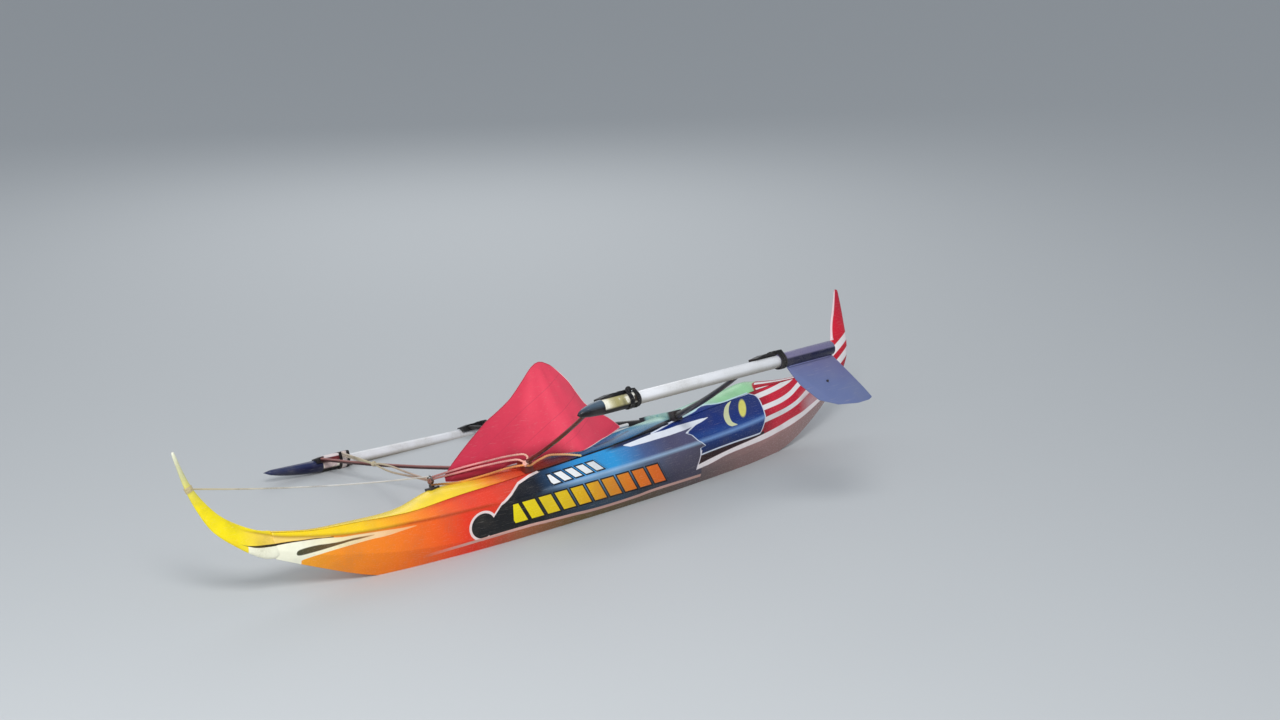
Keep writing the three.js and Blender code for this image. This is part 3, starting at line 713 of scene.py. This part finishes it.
# Arms and their beams
# Each beam is a wooden block, sprayed with the deck, and a slim dark arm is let into each of
# its ends and bent up to the float. The fore arms are redder, the aft ones nearly black, and
# their tops are painted lighter, a painted highlight.
arm_woods = {}
for row, light_wood, dark_wood, lit_top in (
    ("fore", "4a1d1e", "260f12", "a8726c"),
    ("aft", "1d1a1b", "0b0a0b", "2c2829"),
):
    arm_woods[row], place, x, off, z = new_material(f"arm_wood_{row}", coat=0.3)
    grain = add_node("Mapping", {"Vector": place, "Scale": (110, 3, 110)})
    normal = add_node("NewGeometry", {}, place.tree, "Normal")
    facing_up = add_node("SeparateXYZ", {"Vector": normal}, output="Z")
    colour = over(dark_wood, light_wood, noise(grain, 1.5, 6.0))
    # Painted highlight: lighter where the rod faces up
    colour = over(colour, lit_top, edge(facing_up - 0.55, 0.5) * 0.8)
    weathered(arm_woods[row], place, colour, (0.3, 0.55), "6a6058", 0.3)

DARK_END = 0.078
for row, top_paint, worn_paint, dark_end in (
    ("fore", "c03a22", "74261a", "6e2418"),
    ("aft", "b0d6cb", "7fb0b6", "1a1420"),
):
    beam_paint, place, x, off, z = new_material(f"beam_paint_{row}", coat=0.2)
    worn = scaled(noise(place, 30.0, 5.0), 0.4, 0.65)
    colour = over(top_paint, worn_paint, worn)
    colour = over(colour, dark_end, edge(off - DARK_END, 0.02))
    weathered(beam_paint, place, colour, (0.3, 0.6), "6a6058", 0.3)
    beam = merged_copy(f"arm_beam_{row}", f"beam_{row}_block", ease=0.003, segments=3)
    beam.data.materials.append(beam_paint)
    for side in ("port", "starboard"):
        arm = merged_copy(f"arm_{row}_{side}", f"arm_{row}_{side}_rod")
        arm.data.materials.append(arm_woods[row])

# Shoes and tape
# Each arm ends in a shaped shoe of black plastic on top of the float. The starboard fore one
# is dark red. Worn tape, yellow and white over dark, is wound on the pipe under the fore shoes, and its
# underside is painted dark as shadow.
shoe_black, place, x, off, z = new_material("shoe_black")
colour = faded(x, [(-260, "0d0d10"), (300, "15151a"), (700, "101014")])
weathered(shoe_black, place, colour, (0.4, 0.65), "5f5c57", 0.4)
shoe_red, place, x, off, z = new_material("shoe_red")
colour = faded(x, [(546, "4a161c"), (600, "7a2a30"), (640, "5a1c22"), (675, "140f12"), (692, "101014")])
PALE_FOOT, PALE_FORE = 0.027, 0.655
pale_top = least(over_axis(x, z, "starboard") - PALE_FOOT, PALE_FORE - x)
colour = over(colour, "efe3e3", edge(pale_top, 0.004))
weathered(shoe_red, place, colour, (0.4, 0.65), "5f5c57", 0.4)

tapes = {}
for side, stops, shadow_from in (
    ("port", [(522, "e9e6dc"), (540, "e4e0d2"), (556, "f0ede4"), (574, "b9b2a8"), (590, "a39d74"),
              (640, "b3aa72"), (664, "d9d2a8"), (680, "f0ecd9"), (697, "e9e4d2")], -0.012),
    ("starboard", [(522, "e0d2d0"), (580, "d8c4c2"), (640, "c9b4b2"), (697, "b89f9e")], -0.016),
):
    tapes[side], place, x, off, z = new_material(f"tape_{side}")
    height = over_axis(x, z, side)
    patch = noise(place, 30.0, 4.0)
    blots = edge(patch - 0.57, 0.08) * edge(0.60 - x, 0.05)
    colour = over(faded(x, stops), "3a322a", blots)
    colour = over(colour, "f2eedd", edge(0.42 - patch, 0.08))
    # Painted shadow along the tape's underside
    colour = over(colour, "14100e", edge(shadow_from - height, 0.007))
    colour = over(colour, "2c2620", edge(height - 0.025, 0.003))
    weathered(tapes[side], place, colour, (0.45, 0.75), "4a4436", 0.5)

for side in ("port", "starboard"):
    for row in ("fore", "aft"):
        shoe = merged_copy(f"arm_shoe_{row}_{side}", f"shoe_{row}_{side}_body", ease=0.004, segments=3)
        shoe.data.materials.append(shoe_red if (row, side) == ("fore", "starboard") else shoe_black)
    tape = merged_copy(f"tape_sleeve_{side}", f"tape_{side}_wrap", ease=0.0005)
    tape.data.materials.append(tapes[side])

# Lashings
# Strips cut from a rubber inner tube, wound under tension round shoe and float, each turn a
# little askew. A copy of the band is narrowed to one strip and repeated. The fore lashings
# are two groups of turns, with pale tape wound between them on the starboard side.
rubber, place, x, off, z = new_material("lashing_rubber")
colour = faded(x, [(-280, "141416"), (200, "1c1b1d"), (560, "161518")])
weathered(rubber, place, colour, (0.5, 0.75), "66625c", 0.5)
rubber_and_tape, place, x, off, z = new_material("lashing_rubber_and_tape")
colour = faded(x, [(529, "1a1719"), (540, "211c1d"), (543, "ddcfca"), (563, "e6dad4"), (566, "211c1d"),
                   (577, "1a1719")])
weathered(rubber_and_tape, place, colour, (0.5, 0.75), "66625c", 0.5)

# How many turns a band is divided into, and how far each laps over its share of the width
TURNS = 8
LAP = 1.06


def wound(node, name, axis, kept, count):
    """Copies of a band, each drawn thin, leant a little and set side by side along an axis, as one piece"""
    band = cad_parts[node].data
    spots = [vertex.co.dot(axis) for vertex in band.vertices]
    reach = max(spots) - min(spots)
    low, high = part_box(node)
    middle = (Vector(low) + Vector(high)) / 2
    side_way = axis.cross(Vector((0, 0, 1))).normalized()
    turns = []
    for n in kept:
        turn = bpy.data.objects.new(f"{name}_turn", band.copy())
        bpy.context.collection.objects.link(turn)
        turn.data.materials.clear()
        lean = 0.05 * (-1) ** n + 0.02 * math.sin(3.1 * n)
        swell = 0.99 + 0.015 * ((n * 5) % 3)
        for vertex in turn.data.vertices:
            out = vertex.co - middle
            along = out.dot(axis)
            across = (out - axis * along) * swell
            along = along * LAP / count + ((n + 0.5) / count - 0.5) * reach + lean * across.dot(side_way)
            vertex.co = middle + across + axis * along
        turns.append(turn)
    pick(*turns)
    bpy.ops.object.join()
    piece = bpy.context.object
    piece.name = name
    merge_faces(piece, 0.00001)
    modify(piece, "BEVEL", width=0.0009, segments=2)
    bpy.ops.object.shade_smooth_by_angle(angle=math.radians(40))
    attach(piece, "root")
    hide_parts(node)
    return piece


for row, side, kept, finish in (
    ("fore", "port", (0, 1, 2, 5, 6, 7), rubber),
    ("fore", "starboard", range(TURNS), rubber_and_tape),
    ("aft", "port", (1, 2, 3, 4, 5, 6), rubber),
    ("aft", "starboard", (1, 2, 3, 4, 5, 6), rubber),
):
    lashing = wound(f"lashing_{row}_{side}", f"lashing_{row}_{side}_wound", Vector((1, 0, 0)), kept, TURNS)
    lashing.data.materials.append(finish)

# Sail
# One sheet of smooth red sailcloth, cut to a triangle with a rounded top, lowered and standing
# limp on the deck against its boom. The outer skin of the CAD sail is divided and given soft
# folds that hang from its top, then the cloth's thickness. A pale hem is sewn round its edge.
sail = merged_copy("sail", "sail_cloth")
to_water = Matrix.Rotation(HEEL, 4, "X")
to_boat = to_water.inverted()
bpy.ops.object.mode_set(mode="EDIT")
bpy.ops.mesh.select_mode(type="FACE")
bpy.ops.mesh.select_all(action="DESELECT")
bpy.ops.object.mode_set(mode="OBJECT")
for face in sail.data.polygons:
    face.select = (to_boat @ face.normal).y < 0.35
bpy.ops.object.mode_set(mode="EDIT")
bpy.ops.mesh.delete(type="FACE")
bpy.ops.mesh.select_all(action="SELECT")
bpy.ops.mesh.subdivide(number_cuts=3, smoothness=0.6)
bpy.ops.object.mode_set(mode="OBJECT")

# The folds fan out from the sail's top, wide ones and narrow ones, and die away at its top and
# along its foot. Places are in the boat's own frame, in metres
PEAK_X, PEAK_Z = 0.148, 0.650
FOOT_Z = 0.262
WIDE_FOLD, NARROW_FOLD = 0.0035, 0.0016
for vertex in sail.data.vertices:
    spot = to_boat @ vertex.co
    down = max(PEAK_Z - spot.z, 0.0)
    slant = math.atan2(spot.x - PEAK_X, down + 0.06)
    hang = min(down / 0.15, 1.0) * min(max((spot.z - FOOT_Z) / 0.06, 0.0), 1.0)
    depth = WIDE_FOLD * math.sin(7.0 * slant + 0.6) + NARROW_FOLD * math.sin(17.0 * slant + 9.0 * down)
    spot.y += hang * depth
    vertex.co = to_water @ spot

pick(sail)
bpy.ops.object.duplicate()
hem = bpy.context.object
hem.name = "sail_hem"
bpy.ops.object.mode_set(mode="EDIT")
bpy.ops.mesh.select_all(action="SELECT")
bpy.ops.mesh.region_to_loop()
bpy.ops.mesh.select_all(action="INVERT")
bpy.ops.mesh.delete(type="EDGE_FACE")
bpy.ops.mesh.select_all(action="SELECT")
bpy.ops.object.mode_set(mode="OBJECT")
bpy.ops.object.convert(target="CURVE")
hem.data.bevel_depth = 0.0016
hem.data.bevel_resolution = 1
bpy.ops.object.convert(target="MESH")
bpy.ops.object.shade_smooth()

pick(sail)
modify(sail, "SOLIDIFY", thickness=0.0012, offset=-1)
bpy.ops.object.shade_smooth_by_angle(angle=math.radians(50))

# The red is darker forward and low down, a painted shade that is darkest along the foot, and faint seams
# cross it
sail_red, place, x, off, z = new_material("sailcloth_red", roughness=0.6)
colour = faded(x, [(-190, "e23a55"), (60, "f04a63"), (240, "ee455e"), (430, "dc3a54"), (740, "c92f4b")])
foot = line(x, [(-190, 297), (-90, 277), (22, 260), (109, 250), (200, 262), (330, 261), (400, 272),
                (478, 259), (592, 261), (740, 277)])
DARKER_AFT = 0.16
over_foot = z - foot
fore_part = edge(x - DARKER_AFT, 0.1)
# Painted shade along the foot, deepest in its lowest 12 mm
colour = over(colour, "a8283c", edge(0.045 - over_foot, 0.05) * fore_part * 0.8)
colour = over(colour, "6a1418", edge(0.012 - over_foot, 0.016) * fore_part * 0.85)
SEAM_SPACING = 0.11
HALF_SEAM = 0.0012
cloth_seam = calc("PINGPONG", z * 0.9 + x * 0.42, SEAM_SPACING / 2)
colour = over(colour, "c43850", edge(HALF_SEAM - cloth_seam) * 0.5)
weathered(sail_red, place, colour, (0.5, 0.7), "a02a3e", 0.3)
sail.data.materials.append(sail_red)

hem_tape, place, x, off, z = new_material("sail_hem_tape", roughness=0.7)
colour = faded(x, [(-190, "e99aa2"), (-60, "f6dedd"), (60, "f4dad9"), (95, "c94a5c"), (740, "b03348")])
weathered(hem_tape, place, colour, (0.6, 0.8), "a02a3e", 0.3)
hem.data.materials.clear()
hem.data.materials.append(hem_tape)
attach(hem, "root")

# Boom, mast step and mast stub
# The boom is a slim white tube. The stub of a dark mast stands in a wooden step on deck.
boom_white, place, x, off, z = new_material("boom_white", coat=0.2)
colour = faded(x, [(-245, "e7e4e4"), (200, "dfe0e3"), (700, "e6e7ea")])
weathered(boom_white, place, colour, (0.25, 0.5), "8d8778", 0.4)
for node, finish, slot_name, ease in (
    ("boom", boom_white, "white_pipe", 0.0008),
    ("mast_step", arm_woods["fore"], "dark_wood", 0.004),
    ("mast_stub", arm_woods["fore"], "dark_wood", 0.0008),
):
    piece = merged_copy(node, f"{node}_body", ease)
    piece.data.materials.append(finish)

# Ring and plate
# A stainless ring on the foredeck, stained brown, takes the stays and the bow line.
for node, ease in (("ring_plate", 0.0008), ("deck_ring", 0.0)):
    piece = merged_copy(node, f"{node}_body", ease)
    piece.data.materials.append(steel)

# Ropes
# Three-strand laid rope of pale fibre. The starboard stay is two parts seized together with a
# knot, a light white line runs to the bow, and two pinkish ropes run from the ring to the fore
# beam. A strap lies along the deck edge, its orange partly a painted reflection. All are made fast at both
# ends.


def rope_finish(name, stops):
    material, place, x, off, z = new_material(name)
    weathered(material, place, faded(x, stops), (0.7, 0.9), "5f5344", 0.6)
    return material


def finish_rope(piece, finish, *nodes):
    piece.data.materials.clear()
    piece.data.materials.append(finish)
    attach(piece, "root")
    for node in nodes:
        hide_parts(node)


# A strand's radius, and how far its middle lies off the rope's, as shares of the rope's radius
STRAND = 0.56
STRAND_OFF = 0.5


def laid_rope(name, parts, radius, pitch=0.02, strands=3):
    """Strands wound round each part, a row of points in the boat's frame in mm, as one mesh"""
    curve = bpy.data.curves.new(name, "CURVE")
    curve.dimensions = "3D"
    curve.bevel_depth = radius * STRAND
    curve.bevel_resolution = 1
    curve.use_fill_caps = True
    for part in parts:
        knots = [on_water(*point) for point in part]
        knots = [knots[0] * 2 - knots[1], *knots, knots[-1] * 2 - knots[-2]]
        middle = []
        for before, start, end, after in zip(knots, knots[1:], knots[2:], knots[3:]):
            steps = max(int((end - start).length / (pitch / 6)), 2)
            for n in range(steps):
                t = n / steps
                middle.append(0.5 * (
                    2 * start + (end - before) * t + (2 * before - 5 * start + 4 * end - after) * t * t
                    + (3 * start - before - 3 * end + after) * t ** 3
                ))
        middle.append(knots[-2])
        for strand in range(strands):
            spline = curve.splines.new("POLY")
            spline.points.add(len(middle) - 1)
            run = 0.0
            for n, spot in enumerate(middle):
                run += (spot - middle[n - 1]).length if n else 0.0
                ahead = (middle[min(n + 1, len(middle) - 1)] - middle[max(n - 1, 0)]).normalized()
                across = ahead.cross(Vector((0, 0, 1))).normalized()
                turn = math.tau * (run / pitch + strand / strands)
                out = across * math.cos(turn) + across.cross(ahead) * math.sin(turn)
                spline.points[n].co = (*(spot + out * radius * STRAND_OFF), 1)
    piece = bpy.data.objects.new(name, curve)
    bpy.context.collection.objects.link(piece)
    pick(piece)
    bpy.ops.object.convert(target="MESH")
    bpy.ops.object.shade_smooth()
    return piece


def knot(name, centre, size, thickness):
    """Three loops drawn tight into one another round a point in the boat's frame, in mm"""
    loops = []
    for turn in ((0.3, 0.2, 0.0), (1.5, 0.4, 0.8), (0.7, 1.3, 2.0)):
        bpy.ops.object.select_all(action="DESELECT")
        bpy.ops.mesh.primitive_torus_add(
            major_radius=size, minor_radius=thickness, major_segments=16, minor_segments=6,
            location=on_water(*centre), rotation=turn,
        )
        loops.append(bpy.context.object)
    for loop in loops:
        loop.select_set(True)
    bpy.ops.object.join()
    made = bpy.context.object
    made.name = name
    bpy.ops.object.transform_apply(location=True, rotation=True, scale=True)
    bpy.ops.object.shade_smooth()
    return made


pale = rope_finish("rope_pale", [(540, "cdbdb0"), (640, "c6bb9c"), (806, "b99c90")])
white = rope_finish("rope_white", [(790, "cfcac6"), (1300, "dcdcda"), (1840, "c9b98a")])
pink = rope_finish("rope_pink", [(360, "f3c8ac"), (480, "f4aaa6"), (640, "f09c9c"), (806, "a8726a")])
stained = rope_finish("rope_stained", [(780, "6e4a40"), (830, "8a5e52")])
# The strap's orange is partly a painted reflection
orange = rope_finish("strap_orange", [(100, "b8c890"), (160, "f0c08a"), (300, "f2a870"), (560, "f09a50"),
                                      (680, "f0aa3c"), (806, "8a5a30")])

# The stay: the places on its way, as a share of its length, where each part stands over or
# under the straight line between its ends, and by how many mm
STAY_START = (806, -10, 300)
STAY_END = (558, -1012, 468)
stay_parts = []
for spread in (
    ((0, 2), (0.2, 5), (0.4, 12), (0.52, 9), (0.61, 1), (0.8, 4), (1, 6)),
    ((0, -2), (0.2, -7), (0.4, -14), (0.52, -9), (0.61, -1), (0.8, -3), (1, -6)),
):
    stay_parts.append([
        [start + (end - start) * t + lift for start, end, lift in zip(STAY_START, STAY_END, (0, 0, up))]
        for t, up in spread
    ])
finish_rope(laid_rope("stay_two_part", stay_parts, radius=0.0042, pitch=0.026), pale, "stay_starboard")
finish_rope(knot("stay_knot", (654, -621, 402), size=0.008, thickness=0.0042), pale)

# The bow line sags a little between the ring and its turns round the horn
LINE_X, LINE_Z = 806, 314
LINE_RUN, LINE_RISE, LINE_SAG = 1031, 193, 15
bow_points = [
    (LINE_X + LINE_RUN * t, 0, LINE_Z + LINE_RISE * t - 4 * LINE_SAG * t * (1 - t))
    for t in (0, 0.2, 0.4, 0.6, 0.8, 1)
]
finish_rope(laid_rope("bow_line_laid", [bow_points], radius=0.0032), white, "bow_line")
horn_way = to_water @ Vector((0.26, 0, 0.965))
finish_rope(wound("horn_wrap", "horn_wrap_turns", horn_way, range(5), 5), white)
finish_rope(knot("horn_knot", (1836, 4, 506), size=0.007, thickness=0.003), white)

foot_rope_upper = [(802, 6, 309), (647, 20, 314), (534, 38, 312), (475, 56, 311), (421, 84, 306),
                   (402, 100, 300), (398, 111, 287), (408, 112, 270)]
foot_rope_lower = [(804, 8, 301), (652, 24, 299), (598, 34, 299), (540, 50, 297), (483, 70, 294),
                   (438, 92, 288), (426, 106, 278), (416, 112, 268)]
foot_strap = [(812, 8, 280), (760, 20, 271), (697, 30, 261), (615, 36, 260), (557, 48, 261),
              (510, 58, 263), (470, 74, 264), (438, 98, 262), (424, 113, 259), (398, 115, 252),
              (372, 109, 257), (345, 100, 262), (315, 94, 266), (275, 91, 270), (220, 92, 260),
              (177, 97, 249), (130, 109, 233)]
finish_rope(laid_rope("foot_rope_upper", [foot_rope_upper], radius=0.0046, pitch=0.026), pink)
finish_rope(laid_rope("foot_rope_lower", [foot_rope_lower], radius=0.0046, pitch=0.026), pink)
finish_rope(laid_rope("foot_strap", [foot_strap], radius=0.0048, pitch=0.034), orange)
finish_rope(knot("ring_knot", (806, 2, 294), size=0.010, thickness=0.0042), stained)
finish_rope(knot("beam_knot", (416, 113, 264), size=0.009, thickness=0.0048), pink)
finish_rope(knot("lashing_knot", (553, 1040, 470), size=0.008, thickness=0.005), rubber)
